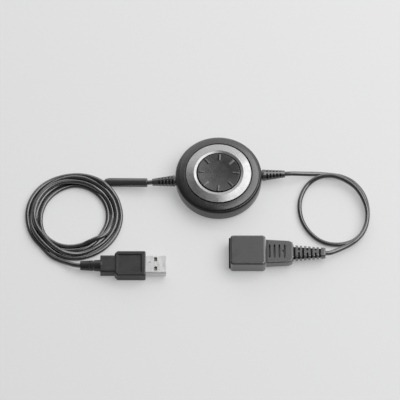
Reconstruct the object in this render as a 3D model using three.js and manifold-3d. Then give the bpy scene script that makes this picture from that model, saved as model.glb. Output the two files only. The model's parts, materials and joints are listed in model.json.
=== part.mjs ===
// USB adapter for a wired headset. A round call control sits in the middle. On one side its cord
// ends in a USB plug, on the other in a quick-disconnect connector for the headset.
// Units: millimetres. Origin: middle of the control's underside, on the desk.
// +X runs from the USB side to the headset side, +Z points up.
import * as THREE from 'three';
import { mergeVertices } from 'three/addons/utils/BufferGeometryUtils.js';
import Module from 'manifold-3d';

const wasm = await Module();
wasm.setup();

const GAP = 0.3;
const FACETS = 48;
const SMALL_FACETS = 16;

// Round control: the cord outlets lie on one axis, turned a little from +X.
const PUCK_TURN = THREE.MathUtils.degToRad(4.05);
const BODY_RADIUS = 25.05;
const WALL_RADIUS = 22.8;
const FLOOR_BOTTOM = 1.2;
const FLOOR_TOP = 2.4;
const LOWER_TOP = 9.5;
const FOOT_RADIUS = 20.5;
const FOOT_TOP = 0.9;
const UPPER_RIM_RADIUS = 24.05;
const UPPER_RIM_BOTTOM = 9.85;
const PLATE_BOTTOM = 9.0;
const RING_SEAT = 9.9;
const OPENING_RADIUS = 13.4;
const RING_OUTER_RADIUS = 19.0;
const RING_INNER_RADIUS = 12.85;
const RING_CREST_RADIUS = 14.4;
const RING_TOP = 12.38;
const RING_LIP_TOP = 11.95;
const SKIRT_INNER_RADIUS = 21.2;
const SKIRT_OUTER_RADIUS = 22.4;
const SKIRT_BOTTOM = 8.2;

// Screw posts
const POST_CIRCLE = 18.0;
const POST_ANGLES = [90, 210, 330];
const LOWER_BOSS_RADIUS = 3.2;
const LOWER_BOSS_TOP = 6.1;
const SCREW_HOLE_RADIUS = 1.3;
const HEAD_POCKET_RADIUS = 2.2;
const HEAD_POCKET_TOP = 3.2;
const SCREW_BOTTOM = 1.5;
const SCREW_TOP = 9.2;

// Circuit board and what it carries
const BOARD_RADIUS = 20.4;
const BOARD_BOTTOM = 6.4;
const BOARD_TOP = 7.4;
const SWITCH_SIDE = 4.0;
const SWITCH_CIRCLE = 9.0;

// Control disc
const DISC_RADIUS = 12.4;
const DISC_BOTTOM = 10.3;
const DISC_TOP = 12.3;
const DISC_DISH = 0.35;
const MARK_COUNT = 8;
const MARK_TURN = THREE.MathUtils.degToRad(-6.5);
const MARK_INNER_RADIUS = 8.2;
const MARK_OUTER_RADIUS = 12.15;
const MARK_WIDTH = 0.7;
const MARK_TOP = 12.5;

// Cord outlets of the round control
const OUTLET_Z = 5.2;
const RELIEF_START = 25.35;
const RELIEF_END = 38.6;
const RELIEF_SLOTS = 5;
const HEADSET_RELIEF_FIRST_SLOT = 28.15;
const USB_RELIEF_FIRST_SLOT = 27.0;
const RELIEF_PITCH = 1.92;
const RELIEF_SLOT_WIDTH = 0.8;
const RELIEF_SPINE = 0.5;
const RELIEF_RAIL = 0.45;

// Cords
const CORD_RADIUS = 1.35;
const SLEEVE_RADIUS = 2.6;
const SLEEVE_BORE = 1.65;
const SLEEVE_TAPER = 2.5;
const SLEEVE_FROM = [-41.3, -2.92, 5.05];
const SLEEVE_TO = [-65.9, -1.45, 2.68];
const COIL_CENTRE = [-83.8, -22.5];
const COIL_OUTER_RADIUS = 28.3;
const COIL_INNER_RADIUS = 17.6;
const COIL_TOP = 5.4;
const COIL_NOTCH_RADIUS = 2.95;
const COIL_NOTCH_LENGTH = 1.45;

// USB plug, on its own axis along X
const USB_AXIS = [0, -56.2, 3.5];
const USB_RELIEF_START = -80.0;
const USB_BODY_START = -68.4;
const USB_GRIP_START = -60.1;
const USB_GRIP_END = -42.2;
const USB_SHELL_START = -46.0;
const USB_SHELL_END = -30.35;
const USB_BODY_SIZE = [11.1, 6.4];
const USB_GRIP_SIZE = [15.9, 7.0];
const USB_SHELL_SIZE = [12.0, 4.5];
const USB_SHELL_WALL = 0.3;
const USB_CONTACTS = [-3.5, -1.0, 1.0, 3.5];

// Headset connector, on its own axis along X
const QD_AXIS = [0, -48.8, 4.75];
const QD_MOUTH = 6.6;
const QD_HOUSING_END = 27.15;
const QD_HOUSING_SIZE = [19.2, 9.5];
const QD_WALL = 0.9;
const QD_POCKET_END = 20.0;
const QD_INSERT_START = 5.9;
const QD_INSERT_END = 19.7;
const QD_CAVITY_END = 17.4;
const QD_INSERT_WALL = 0.8;
const QD_PINS = [-4.5, -1.5, 1.5, 4.5];
const QD_PIN_START = 12.9;
const QD_PIN_END = 19.3;
const QD_GRIP_END = 43.1;
const QD_RELIEF_END = 61.8;
const QD_GROOVES = [29.97, 32.82, 35.67, 38.69];
const QD_OPEN_SLOTS = [43.9, 48.8, 53.7, 58.5];
const QD_BRIDGED_SLOTS = [46.4, 51.3, 56.1];
const QD_SLOT_WIDTH = 0.9;

const colours = {
  rubber: 0x1b1b1c,
  shell: 0x4a4a4b,
  silver: 0xa9a9a8,
  board: 0x1f4a2c,
  metal: 0xc9c9c6,
  brass: 0xc8a24a,
  black: 0x232324,
  white: 0xd8d8d2,
};

// ---- shapes ----

function solid(geometry) {
  const bare = geometry.index ? geometry.toNonIndexed() : geometry.clone();
  bare.deleteAttribute('normal');
  bare.deleteAttribute('uv');
  const merged = mergeVertices(bare, 1e-4);
  return new wasm.Manifold(new wasm.Mesh({
    numProp: 3,
    vertProperties: merged.attributes.position.array,
    triVerts: new Uint32Array(merged.index.array),
  }));
}

function geometryOf(body) {
  const mesh = body.getMesh();
  const geometry = new THREE.BufferGeometry();
  geometry.setAttribute('position', new THREE.BufferAttribute(mesh.vertProperties, 3));
  geometry.setIndex(new THREE.BufferAttribute(mesh.triVerts, 1));
  geometry.computeVertexNormals();
  return geometry;
}

function combine(first, others) {
  return others.reduce((body, other) => body.add(other), first);
}

function cut(first, others) {
  return others.reduce((body, other) => body.subtract(other), first);
}

// Turned about Z: profile of [radius, height] pairs.
function turnedZ(profile, facets) {
  const points = profile.map(([radius, height]) => new THREE.Vector2(radius, height));
  return new THREE.LatheGeometry(points, facets).rotateX(Math.PI / 2);
}

// Turned about X: profile of [radius, x] pairs.
function turnedX(profile, facets) {
  const points = profile.map(([radius, x]) => new THREE.Vector2(radius, x));
  return new THREE.LatheGeometry(points, facets).rotateZ(-Math.PI / 2);
}

function postZ(radius, bottom, top, facets) {
  return turnedZ([[0, bottom], [radius, bottom], [radius, top], [0, top]], facets);
}

function rodX(radius, start, end, facets) {
  return turnedX([[0, start], [radius, start], [radius, end], [0, end]], facets);
}

function boxAt([x0, x1], [y0, y1], [z0, z1]) {
  const box = new THREE.BoxGeometry(x1 - x0, y1 - y0, z1 - z0);
  return box.translate((x0 + x1) / 2, (y0 + y1) / 2, (z0 + z1) / 2);
}

function roundedRectangle(width, height, radius) {
  const w = width / 2;
  const h = height / 2;
  const shape = new THREE.Shape();
  shape.moveTo(-w + radius, -h);
  shape.lineTo(w - radius, -h);
  shape.quadraticCurveTo(w, -h, w, -h + radius);
  shape.lineTo(w, h - radius);
  shape.quadraticCurveTo(w, h, w - radius, h);
  shape.lineTo(-w + radius, h);
  shape.quadraticCurveTo(-w, h, -w, h - radius);
  shape.lineTo(-w, -h + radius);
  shape.quadraticCurveTo(-w, -h, -w + radius, -h);
  return shape;
}

// A section drawn in Y and Z, run along X.
function barX(section, start, end) {
  const alongX = new THREE.Matrix4().makeBasis(
    new THREE.Vector3(0, 1, 0),
    new THREE.Vector3(0, 0, 1),
    new THREE.Vector3(1, 0, 0),
  );
  const bar = new THREE.ExtrudeGeometry(section, {
    depth: end - start,
    bevelEnabled: false,
    curveSegments: 4,
  });
  return bar.applyMatrix4(alongX).translate(start, 0, 0);
}

// An outline drawn in X and Y, as a slab centred on Z = 0 with eased top and bottom edges.
function slab(outline, thickness, ease) {
  const body = new THREE.ExtrudeGeometry(outline, {
    depth: thickness - 2 * ease,
    bevelEnabled: true,
    bevelThickness: ease,
    bevelSize: ease,
    bevelOffset: -ease,
    bevelSegments: 2,
    curveSegments: 4,
  });
  return body.translate(0, 0, ease - thickness / 2);
}

// Narrows a geometry along X: factors of width and thickness at the far end.
function tapered(geometry, start, end, widthFactor, thicknessFactor) {
  const position = geometry.attributes.position;
  for (let i = 0; i < position.count; i += 1) {
    const share = (position.getX(i) - start) / (end - start);
    position.setY(i, position.getY(i) * (1 + (widthFactor - 1) * share));
    position.setZ(i, position.getZ(i) * (1 + (thicknessFactor - 1) * share));
  }
  return geometry;
}

function cord(route, steps) {
  const section = new THREE.Shape();
  for (let side = 0; side < 8; side += 1) {
    const angle = (side / 8) * 2 * Math.PI;
    const point = [CORD_RADIUS * Math.cos(angle), CORD_RADIUS * Math.sin(angle)];
    if (side === 0) section.moveTo(...point);
    else section.lineTo(...point);
  }
  const points = route.map((place) => new THREE.Vector3(...place));
  const path = new THREE.CatmullRomCurve3(points, false, 'centripetal');
  return new THREE.ExtrudeGeometry(section, { steps, extrudePath: path, bevelEnabled: false });
}

function piece(name, geometry, colour, metalness = 0) {
  const material = new THREE.MeshStandardMaterial({
    color: colours[colour],
    roughness: metalness ? 0.35 : 0.6,
    metalness,
  });
  const mesh = new THREE.Mesh(geometry, material);
  mesh.name = name;
  return mesh;
}

const adapter = new THREE.Group();
adapter.name = 'usb_headset_adapter';
const puck = new THREE.Group();
puck.rotation.z = PUCK_TURN;
const usbPlug = new THREE.Group();
usbPlug.position.set(...USB_AXIS);
const qdConnector = new THREE.Group();
qdConnector.position.set(...QD_AXIS);
adapter.add(puck, usbPlug, qdConnector);

const posts = POST_ANGLES.map((degrees) => {
  const angle = THREE.MathUtils.degToRad(degrees);
  return [POST_CIRCLE * Math.cos(angle), POST_CIRCLE * Math.sin(angle)];
});

function atPosts(makeGeometry) {
  return posts.map(([x, y]) => solid(makeGeometry().translate(x, y, 0)));
}

// ---- round control ----

puck.add(piece('rubber_foot', turnedZ([
  [0, 0],
  [FOOT_RADIUS - 0.3, 0],
  [FOOT_RADIUS, 0.3],
  [FOOT_RADIUS, FOOT_TOP],
  [0, FOOT_TOP],
], FACETS), 'rubber'));

function lowerHousing() {
  const tray = solid(turnedZ([
    [0, FLOOR_BOTTOM],
    [FOOT_RADIUS + 0.4, FLOOR_BOTTOM],
    [FOOT_RADIUS + 0.4, 0.55],
    [BODY_RADIUS - 0.85, 0.55],
    [BODY_RADIUS - 0.2, 1.6],
    [BODY_RADIUS, 5.0],
    [BODY_RADIUS - 0.05, 8.0],
    [BODY_RADIUS - 0.25, 8.9],
    [BODY_RADIUS - 0.65, LOWER_TOP],
    [WALL_RADIUS, LOWER_TOP],
    [WALL_RADIUS, FLOOR_TOP],
    [0, FLOOR_TOP],
  ], FACETS));
  const bosses = atPosts(() => postZ(LOWER_BOSS_RADIUS, FLOOR_TOP - 0.4, LOWER_BOSS_TOP, SMALL_FACETS));
  const holes = atPosts(() => postZ(SCREW_HOLE_RADIUS, 0, LOWER_BOSS_TOP + 1, SMALL_FACETS));
  const headPockets = atPosts(() => postZ(HEAD_POCKET_RADIUS, 0, HEAD_POCKET_TOP, SMALL_FACETS));
  const outlets = [-1, 1].map((side) => {
    const ends = [side * (WALL_RADIUS - 1.5), side * (BODY_RADIUS + 1)].sort((a, b) => a - b);
    return solid(rodX(2.7 + GAP, ends[0], ends[1], 24).translate(0, 0, OUTLET_Z));
  });
  return cut(combine(tray, bosses), [...holes, ...headPockets, ...outlets]);
}
puck.add(piece('lower_housing', geometryOf(lowerHousing()), 'shell'));

function circuitBoard() {
  const outline = new THREE.Shape();
  outline.absarc(0, 0, BOARD_RADIUS, 0, 2 * Math.PI);
  const board = solid(new THREE.ExtrudeGeometry(outline, {
    depth: BOARD_TOP - BOARD_BOTTOM,
    bevelEnabled: false,
    curveSegments: 40,
  }).translate(0, 0, BOARD_BOTTOM));
  return cut(board, atPosts(() => postZ(1.5, BOARD_BOTTOM - 1, BOARD_TOP + 1, SMALL_FACETS)));
}
puck.add(piece('circuit_board', geometryOf(circuitBoard()), 'board'));

function keySwitch(x, y, stemTop) {
  const half = SWITCH_SIDE / 2;
  const bottom = BOARD_TOP + GAP;
  const can = solid(boxAt([x - half, x + half], [y - half, y + half], [bottom, stemTop - 0.35]));
  const stem = solid(postZ(0.9, bottom + 0.1, stemTop, SMALL_FACETS).translate(x, y, 0));
  return can.add(stem);
}
puck.add(piece('switch_centre', geometryOf(keySwitch(0, 0, 8.6)), 'metal', 1));
for (let i = 0; i < 4; i += 1) {
  const angle = (i * Math.PI) / 2;
  const body = keySwitch(SWITCH_CIRCLE * Math.cos(angle), SWITCH_CIRCLE * Math.sin(angle), 8.4);
  puck.add(piece(`switch_${i}`, geometryOf(body), 'metal', 1));
}

puck.add(piece(
  'codec_chip',
  boxAt([-12.7, -5.7], [-13.7, -6.7], [BOARD_TOP + GAP, BOARD_TOP + GAP + 0.9]),
  'black',
));
puck.add(piece(
  'crystal_can',
  boxAt([-11.0, -7.8], [8.0, 10.5], [BOARD_TOP + GAP, BOARD_TOP + GAP + 0.8]),
  'metal',
  1,
));

const headers = [['usb_header', 'usb_inner_lead', -1], ['headset_header', 'headset_inner_lead', 1]];
for (const [headerName, leadName, side] of headers) {
  const header = boxAt([12.0, 16.0], [-3.0, 3.0], [BOARD_BOTTOM - GAP - 2.6, BOARD_BOTTOM - GAP]);
  const lead = rodX(1.1, 16.0 + GAP, 20.5, 12).translate(0, 0, OUTLET_Z);
  const turn = side < 0 ? Math.PI : 0;
  puck.add(piece(headerName, header.rotateZ(turn), 'white'));
  puck.add(piece(leadName, lead.rotateZ(turn), 'rubber'));
}

function upperHousing() {
  const cap = solid(turnedZ([
    [SKIRT_INNER_RADIUS, SKIRT_BOTTOM],
    [SKIRT_OUTER_RADIUS, SKIRT_BOTTOM],
    [SKIRT_OUTER_RADIUS, UPPER_RIM_BOTTOM],
    [UPPER_RIM_RADIUS, UPPER_RIM_BOTTOM],
    [UPPER_RIM_RADIUS, UPPER_RIM_BOTTOM + 0.25],
    [UPPER_RIM_RADIUS - 0.5, UPPER_RIM_BOTTOM + 0.72],
    [UPPER_RIM_RADIUS - 1.6, UPPER_RIM_BOTTOM + 0.95],
    [RING_OUTER_RADIUS + 0.4, 11.18],
    [RING_OUTER_RADIUS + 0.4, RING_SEAT],
    [OPENING_RADIUS, RING_SEAT],
    [OPENING_RADIUS, PLATE_BOTTOM],
    [SKIRT_INNER_RADIUS, PLATE_BOTTOM],
    [SKIRT_INNER_RADIUS, SKIRT_BOTTOM],
  ], FACETS));
  const pillars = atPosts(() => postZ(2.2, BOARD_TOP + GAP, PLATE_BOTTOM + 0.4, SMALL_FACETS));
  const holes = atPosts(() => postZ(SCREW_HOLE_RADIUS, BOARD_TOP - 1, SCREW_TOP + GAP, SMALL_FACETS));
  return cut(combine(cap, pillars), holes);
}
puck.add(piece('upper_housing', geometryOf(upperHousing()), 'shell'));

puck.add(piece('trim_ring', turnedZ([
  [RING_INNER_RADIUS, RING_SEAT + GAP],
  [RING_OUTER_RADIUS, RING_SEAT + GAP],
  [RING_OUTER_RADIUS, 11.2],
  [RING_OUTER_RADIUS - 0.15, 11.36],
  [RING_CREST_RADIUS, RING_TOP],
  [RING_INNER_RADIUS, RING_LIP_TOP],
  [RING_INNER_RADIUS, RING_SEAT + GAP],
], FACETS), 'silver', 0.6));

function screw(x, y) {
  const body = solid(turnedZ([
    [0, SCREW_BOTTOM],
    [1.9, SCREW_BOTTOM],
    [1.9, HEAD_POCKET_TOP - GAP],
    [1.0, HEAD_POCKET_TOP - GAP],
    [1.0, SCREW_TOP - 0.4],
    [0.7, SCREW_TOP],
    [0, SCREW_TOP],
  ], SMALL_FACETS).translate(x, y, 0));
  const depth = [SCREW_BOTTOM - 1, SCREW_BOTTOM + 0.6];
  const slots = [
    solid(boxAt([x - 1.2, x + 1.2], [y - 0.25, y + 0.25], depth)),
    solid(boxAt([x - 0.25, x + 0.25], [y - 1.2, y + 1.2], depth)),
  ];
  return cut(body, slots);
}
posts.forEach(([x, y], i) => {
  puck.add(piece(`screw_${i}`, geometryOf(screw(x, y)), 'metal', 1));
});

// Moulded strain relief: a flange inside the wall, a neck through it and a slotted cone outside.
function outletRelief(firstSlot) {
  const flange = solid(barX(roundedRectangle(8.6, 5.0, 0.8), 20.8, 22.0));
  const cone = solid(turnedX([
    [0, 21.8],
    [2.7, 21.8],
    [2.7, RELIEF_START],
    [3.3, RELIEF_START],
    [3.3, RELIEF_START + 1.2],
    [2.0, RELIEF_END - 0.3],
    [1.8, RELIEF_END],
    [0, RELIEF_END],
  ], 24));
  const windows = [];
  for (let i = 0; i < RELIEF_SLOTS; i += 1) {
    const middle = firstSlot + i * RELIEF_PITCH;
    const span = [middle - RELIEF_SLOT_WIDTH / 2, middle + RELIEF_SLOT_WIDTH / 2];
    for (const across of [[-4, -RELIEF_SPINE], [RELIEF_SPINE, 4]]) {
      for (const height of [[-4, -RELIEF_RAIL], [RELIEF_RAIL, 4]]) {
        windows.push(solid(boxAt(span, across, height)));
      }
    }
  }
  return geometryOf(cut(flange.add(cone), windows)).translate(0, 0, OUTLET_Z);
}
puck.add(piece('headset_relief', outletRelief(HEADSET_RELIEF_FIRST_SLOT), 'rubber'));
const usbRelief = outletRelief(USB_RELIEF_FIRST_SLOT).rotateZ(Math.PI);
puck.add(piece('usb_relief', usbRelief, 'rubber'));

// Control disc on its flexing mount: the hub slides down, the ring and the disc tilt.
puck.add(piece('key_hub', turnedZ([
  [0, 9.3],
  [3.2, 9.3],
  [3.5, 9.5],
  [3.5, 9.9],
  [0, 9.9],
], 24), 'black'));
puck.add(piece('flexure_ring', turnedZ([
  [4.2, 9.3],
  [5.6, 9.3],
  [5.6, 9.9],
  [4.2, 9.9],
  [4.2, 9.3],
], 24), 'black'));

function controlDisc() {
  const dished = (radius) => DISC_TOP - DISC_DISH * (1 - (radius / DISC_RADIUS) ** 2);
  const disc = solid(turnedZ([
    [0, DISC_BOTTOM],
    [6.3, DISC_BOTTOM],
    [6.3, DISC_BOTTOM - 0.8],
    [7.3, DISC_BOTTOM - 0.8],
    [7.3, DISC_BOTTOM],
    [DISC_RADIUS - 0.2, DISC_BOTTOM],
    [DISC_RADIUS, DISC_BOTTOM + 0.2],
    [DISC_RADIUS, DISC_TOP - 0.2],
    [DISC_RADIUS - 0.2, DISC_TOP],
    [9.0, dished(9.0)],
    [5.0, dished(5.0)],
    [0, dished(0)],
  ], FACETS));
  const marks = [];
  for (let i = 0; i < MARK_COUNT; i += 1) {
    const mark = boxAt(
      [MARK_INNER_RADIUS, MARK_OUTER_RADIUS],
      [-MARK_WIDTH / 2, MARK_WIDTH / 2],
      [DISC_BOTTOM + 0.5, MARK_TOP],
    );
    marks.push(solid(mark.rotateZ(MARK_TURN + (i * 2 * Math.PI) / MARK_COUNT)));
  }
  return combine(disc, marks);
}
puck.add(piece('control_disc', geometryOf(controlDisc()), 'black'));

// ---- USB cord ----

const sleeveStart = new THREE.Vector3(...SLEEVE_FROM);
const sleeveSpan = new THREE.Vector3(...SLEEVE_TO).sub(sleeveStart);
const sleeveLength = sleeveSpan.length();

// Lays a geometry made along +X on the axis of the sleeve.
function alongSleeve(geometry) {
  const turn = new THREE.Quaternion().setFromUnitVectors(
    new THREE.Vector3(1, 0, 0),
    sleeveSpan.clone().normalize(),
  );
  return geometry.applyQuaternion(turn).translate(...SLEEVE_FROM);
}

adapter.add(piece('cable_sleeve', alongSleeve(turnedX([
  [SLEEVE_BORE, 0],
  [SLEEVE_RADIUS - 0.25, 0],
  [SLEEVE_RADIUS, 0.3],
  [SLEEVE_RADIUS, sleeveLength - SLEEVE_TAPER],
  [SLEEVE_RADIUS - 0.6, sleeveLength],
  [SLEEVE_BORE, sleeveLength],
  [SLEEVE_BORE, 0],
], 24)), 'rubber'));

adapter.add(piece('usb_cord_lead', cord([
  [-38.8, -2.75, 5.2],
  [-40.0, -2.83, 5.16],
  SLEEVE_FROM,
  [-53.6, -2.185, 3.865],
  SLEEVE_TO,
  [-67.0, -1.384, 2.574],
], 9), 'rubber'));

function cordCoil() {
  const corner = 1.4;
  const ring = solid(turnedZ([
    [COIL_INNER_RADIUS + corner, 0],
    [COIL_OUTER_RADIUS - corner, 0],
    [COIL_OUTER_RADIUS, corner],
    [COIL_OUTER_RADIUS, COIL_TOP - corner],
    [COIL_OUTER_RADIUS - corner, COIL_TOP],
    [COIL_INNER_RADIUS + corner, COIL_TOP],
    [COIL_INNER_RADIUS, COIL_TOP - corner],
    [COIL_INNER_RADIUS, corner],
    [COIL_INNER_RADIUS + corner, 0],
  ], FACETS).translate(...COIL_CENTRE, 0));
  const notch = rodX(COIL_NOTCH_RADIUS, -6, sleeveLength + COIL_NOTCH_LENGTH, 24);
  return ring.subtract(solid(alongSleeve(notch)));
}
adapter.add(piece('usb_cord_coil', geometryOf(cordCoil()), 'rubber'));

adapter.add(piece('usb_cord_tail', cord([
  [-95.2, -50.15, 1.36],
  [-93.7, -50.9, 1.38],
  [-91.4, -52.1, 1.5],
  [-89.2, -53.0, 1.8],
  [-86.9, -54.1, 2.4],
  [-83.8, -55.5, 3.2],
  [-80.3, -56.2, 3.5],
], 7), 'rubber'));

// ---- USB plug ----

function usbPlugBody() {
  const relief = solid(turnedX([
    [0, USB_RELIEF_START],
    [2.35, USB_RELIEF_START],
    [2.6, USB_RELIEF_START + 0.3],
    [3.4, USB_BODY_START],
    [3.4, USB_BODY_START + 1],
    [0, USB_BODY_START + 1],
  ], 24));
  const rear = solid(barX(roundedRectangle(...USB_BODY_SIZE, 1.6), USB_BODY_START, USB_GRIP_START + 1));
  const half = USB_GRIP_SIZE[0] / 2;
  const outline = new THREE.Shape();
  outline.moveTo(USB_GRIP_START, -half + 1.7);
  outline.lineTo(USB_GRIP_START + 1.7, -half);
  outline.lineTo(USB_GRIP_END - 0.5, -half);
  outline.lineTo(USB_GRIP_END, -half + 0.5);
  outline.lineTo(USB_GRIP_END, half - 0.5);
  outline.lineTo(USB_GRIP_END - 0.5, half);
  outline.lineTo(USB_GRIP_START + 1.7, half);
  outline.lineTo(USB_GRIP_START, half - 1.7);
  const grip = solid(slab(outline, USB_GRIP_SIZE[1], 0.6));
  const panelSpan = [USB_GRIP_START + 1.8, USB_GRIP_END - 2.5];
  const panelDepth = USB_GRIP_SIZE[1] / 2 - 0.4;
  const cuts = [
    solid(boxAt(panelSpan, [-5.6, 5.6], [panelDepth, panelDepth + 2])),
    solid(boxAt(panelSpan, [-5.6, 5.6], [-panelDepth - 2, -panelDepth])),
    solid(barX(
      roundedRectangle(USB_SHELL_SIZE[0] + 2 * GAP, USB_SHELL_SIZE[1] + 2 * GAP, 0.6),
      USB_SHELL_START - GAP,
      USB_GRIP_END + 1,
    )),
  ];
  for (const side of [-1, 1]) {
    const above = [side * 1.7, side * 5].sort((a, b) => a - b);
    cuts.push(solid(boxAt([-74.8, -74.1], [-5, 5], above)));
    cuts.push(solid(boxAt([-72.7, -72.0], above, [-5, 5])));
  }
  return cut(combine(grip, [rear, relief]), cuts);
}
usbPlug.add(piece('usb_plug_body', geometryOf(usbPlugBody()), 'rubber'));

function usbPlugShell() {
  const [width, height] = USB_SHELL_SIZE;
  const outer = solid(barX(roundedRectangle(width, height, 0.7), USB_SHELL_START, USB_SHELL_END));
  const inside = solid(barX(
    roundedRectangle(width - 2 * USB_SHELL_WALL, height - 2 * USB_SHELL_WALL, 0.45),
    USB_SHELL_START - 1,
    USB_SHELL_END + 1,
  ));
  const windows = [[-4.2, -1.7], [1.7, 4.2]].map((across) => (
    solid(boxAt([-37.3, -35.5], across, [-4, 4]))
  ));
  return cut(outer, [inside, ...windows]);
}
usbPlug.add(piece('usb_plug_shell', geometryOf(usbPlugShell()), 'metal', 1));

const tongueBlock = solid(boxAt([USB_SHELL_START + GAP, -41.5], [-5.4, 5.4], [-1.65, 1.65]));
const tongueBlade = solid(boxAt([-42, USB_SHELL_END - 0.8], [-5.4, 5.4], [-1.65, 0.15]));
usbPlug.add(piece('usb_plug_tongue', geometryOf(tongueBlock.add(tongueBlade)), 'white'));

USB_CONTACTS.forEach((y, i) => {
  const strip = boxAt([-41.5 + GAP, USB_SHELL_END - 1.6], [y - 0.5, y + 0.5], [0.35, 0.6]);
  usbPlug.add(piece(`usb_contact_${i}`, strip, 'brass', 1));
});

// ---- headset cord: one open loop that passes over itself on its outer side ----

const headsetRoute = [
  [38.8, 2.75, 5.2],
  [42.0, 2.95, 5.18],
  [46.5, 3.15, 4.7],
  [52.0, 3.75, 3.3],
  [57.0, 4.4, 1.9],
  [62.0, 4.3, 1.36],
  [67.0, 3.75, 1.36],
  [71.8, 2.7, 1.36],
  [77.1, -0.1, 1.36],
  [80.9, -3.9, 1.36],
  [83.8, -8.5, 1.36],
  [85.6, -13.7, 1.36],
  [86.4, -19.2, 1.36],
  [86.2, -24.8, 1.36],
  [84.7, -30.5, 1.36],
  [81.9, -35.6, 1.36],
  [77.6, -39.3, 1.36],
  [72.5, -41.1, 1.36],
  [67.3, -41.5, 1.36],
  [62.2, -40.6, 1.36],
  [57.5, -38.2, 1.36],
  [53.6, -34.6, 1.36],
  [50.4, -30.2, 1.36],
  [48.1, -25.0, 1.36],
  [47.0, -19.2, 1.36],
  [47.2, -13.1, 1.36],
  [49.0, -7.3, 1.5],
  [51.6, -3.0, 2.0],
  [55.3, 0.0, 3.0],
  [60.1, 1.7, 4.0],
  [65.6, 2.0, 4.3],
  [70.7, 0.6, 4.3],
  [75.1, -1.9, 4.3],
  [79.0, -5.1, 4.3],
  [82.0, -9.2, 4.3],
  [84.2, -13.8, 4.3],
  [85.8, -18.9, 4.3],
  [86.2, -24.4, 4.3],
  [85.4, -30.2, 4.3],
  [83.1, -35.7, 4.3],
  [79.4, -40.1, 4.2],
  [75.4, -43.0, 3.9],
  [71.6, -45.1, 3.9],
  [67.3, -47.3, 4.3],
  [64.4, -48.5, 4.62],
  [62.1, -48.8, 4.75],
];
adapter.add(piece('headset_cord', cord(headsetRoute, 44), 'rubber'));

// ---- headset connector ----

function qdHousing() {
  const length = QD_HOUSING_END - QD_MOUTH;
  const [width, thickness] = QD_HOUSING_SIZE;
  const block = solid(slab(roundedRectangle(length, width, 2.2), thickness, 0.55)
    .translate((QD_MOUTH + QD_HOUSING_END) / 2, 0, 0));
  const pocket = solid(barX(
    roundedRectangle(width - 2 * QD_WALL, thickness - 2 * QD_WALL, 1.1),
    QD_MOUTH - 1,
    QD_POCKET_END,
  ));
  return block.subtract(pocket);
}
qdConnector.add(piece('qd_housing', geometryOf(qdHousing()), 'shell'));

function qdInsert() {
  const width = QD_HOUSING_SIZE[0] - 2 * QD_WALL - 2 * GAP;
  const height = QD_HOUSING_SIZE[1] - 2 * QD_WALL - 2 * GAP;
  const sleeve = solid(barX(roundedRectangle(width, height, 0.9), QD_INSERT_START, QD_INSERT_END));
  const cavity = solid(barX(
    roundedRectangle(width - 2 * QD_INSERT_WALL, height - 2 * QD_INSERT_WALL, 0.5),
    QD_INSERT_START - 1,
    QD_CAVITY_END,
  ));
  const holes = QD_PINS.map((y) => (
    solid(rodX(0.5 + 0.25, QD_CAVITY_END - 1, QD_INSERT_END + 1, 12).translate(0, y, 0))
  ));
  return cut(sleeve, [cavity, ...holes]);
}
qdConnector.add(piece('qd_insert', geometryOf(qdInsert()), 'black'));

QD_PINS.forEach((y, i) => {
  const pin = turnedX([
    [0, QD_PIN_START],
    [0.3, QD_PIN_START],
    [0.5, QD_PIN_START + 0.3],
    [0.5, QD_PIN_END],
    [0, QD_PIN_END],
  ], 12);
  qdConnector.add(piece(`qd_pin_${i}`, pin.translate(0, y, 0), 'brass', 1));
});

// Moulded grip and strain relief behind the connector housing.
function qdGrip() {
  const start = QD_HOUSING_END + GAP;
  const outline = new THREE.Shape();
  outline.moveTo(start, -7.75);
  outline.lineTo(QD_GRIP_END - 2.4, -7.1);
  outline.quadraticCurveTo(QD_GRIP_END - 0.6, -7.0, QD_GRIP_END, -4.6);
  outline.lineTo(QD_GRIP_END, 4.6);
  outline.quadraticCurveTo(QD_GRIP_END - 0.6, 7.0, QD_GRIP_END - 2.4, 7.1);
  outline.lineTo(start, 7.75);
  const grip = solid(tapered(slab(outline, 5.8, 0.6), start, QD_GRIP_END, 1, 0.9));
  const relief = solid(tapered(
    barX(roundedRectangle(9.4, 5.2, 1.9), QD_GRIP_END - 0.5, QD_RELIEF_END),
    QD_GRIP_END - 0.5,
    QD_RELIEF_END,
    0.61,
    0.83,
  ));
  const core = solid(rodX(1.6, QD_GRIP_END, QD_RELIEF_END - 1, 12));
  const bridges = [[-4, -1], [1, 4]].map((height) => (
    solid(boxAt([QD_GRIP_END, QD_RELIEF_END], [-0.65, 0.65], height))
  ));
  const slotAt = (x) => (
    solid(boxAt([x - QD_SLOT_WIDTH / 2, x + QD_SLOT_WIDTH / 2], [-6, 6], [-4, 4])).subtract(core)
  );
  const slots = [
    ...QD_OPEN_SLOTS.map(slotAt),
    ...QD_BRIDGED_SLOTS.map((x) => cut(slotAt(x), bridges)),
  ];
  const grooves = QD_GROOVES.flatMap((x) => [[2.4, 4], [-4, -2.4]].map((height) => (
    solid(boxAt([x - 0.4, x + 0.4], [-4.1, 4.1], height))
  )));
  const dimple = solid(postZ(0.6, 2.2, 4, 12).translate(37.2, 0, 0));
  return cut(grip.add(relief), [...slots, ...grooves, dimple]);
}
qdConnector.add(piece('qd_grip', geometryOf(qdGrip()), 'shell'));

export default adapter;
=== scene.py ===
"""USB headset adapter: the looks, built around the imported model.

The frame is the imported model's, in metres. Shapes are drawn in millimetres and scaled by MM.
"""
import json
import math

import bmesh
import bpy
from mathutils import Matrix, Quaternion, Vector


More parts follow.
